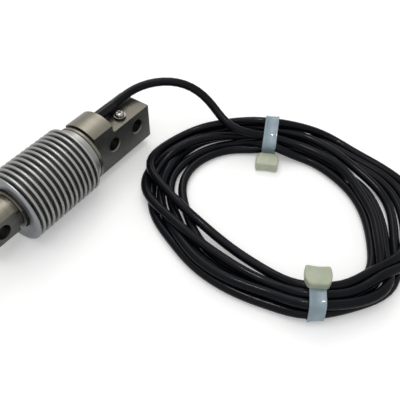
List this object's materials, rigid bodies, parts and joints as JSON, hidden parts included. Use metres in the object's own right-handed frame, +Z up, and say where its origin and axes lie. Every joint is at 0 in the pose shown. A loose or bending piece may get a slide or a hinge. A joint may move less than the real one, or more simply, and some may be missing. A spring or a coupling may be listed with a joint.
{
  "type": "strain gauge load cell",
  "caption": "Bending beam load cell sealed in steel bellows, with a flat sided fixing block, a flat sided load stub and a black cable wound in a tied coil.",
  "frame": {"origin": "on the floor below the middle of the cell, the cable not counted", "axes": "+X along the cell's axis towards the fixing block, +Y away from the coil, +Z up"},
  "size_m": [0.1911, 0.2291, 0.041],
  "materials": {
    "satin_steel": "fine turned and milled stainless steel, satin, slightly warm",
    "bellows_steel": "bright thin stainless sheet",
    "bright_steel": "bright plated steel",
    "gauge_foil": "amber carrier film with metal foil",
    "enamel": "enamelled copper",
    "board": "green circuit board",
    "resistor": "glossy lacquer",
    "core_sheath": "plain sleeve",
    "seal_rubber": "matt black",
    "boot_rubber": "black shrink sleeve",
    "cable_jacket": "smooth black jacket",
    "tie_nylon": "natural nylon, translucent",
    "core_red": "red insulation",
    "core_black": "black insulation",
    "core_green": "green insulation",
    "core_white": "white insulation"
  },
  "bodies": {
    "root": {"beam_body": "satin_steel", "bellows": "bellows_steel", "fixed_end_ring": "satin_steel", "load_end_ring": "satin_steel", "strain_gauge_1": "gauge_foil", "strain_gauge_2": "gauge_foil", "strain_gauge_3": "gauge_foil", "strain_gauge_4": "gauge_foil", "gauge_lead_1": "enamel", "gauge_lead_2": "enamel", "gauge_lead_3": "enamel", "gauge_lead_4": "enamel", "terminal_board": "board", "trim_resistor_1": "resistor", "trim_resistor_2": "resistor", "core_bundle": "core_sheath", "cable_seal": "seal_rubber", "cable_boot": "boot_rubber", "recess_screw": "bright_steel", "plain_washer": "bright_steel", "sealing_ring": "seal_rubber", "cable_lead": "cable_jacket", "cable_coil": "cable_jacket", "cable_tail": "cable_jacket", "cable_tie_far": "tie_nylon", "cable_tie_near": "tie_nylon", "core_red": "core_red", "core_black": "core_black", "core_green": "core_green", "core_white": "core_white"}
  },
  "joints": []
}
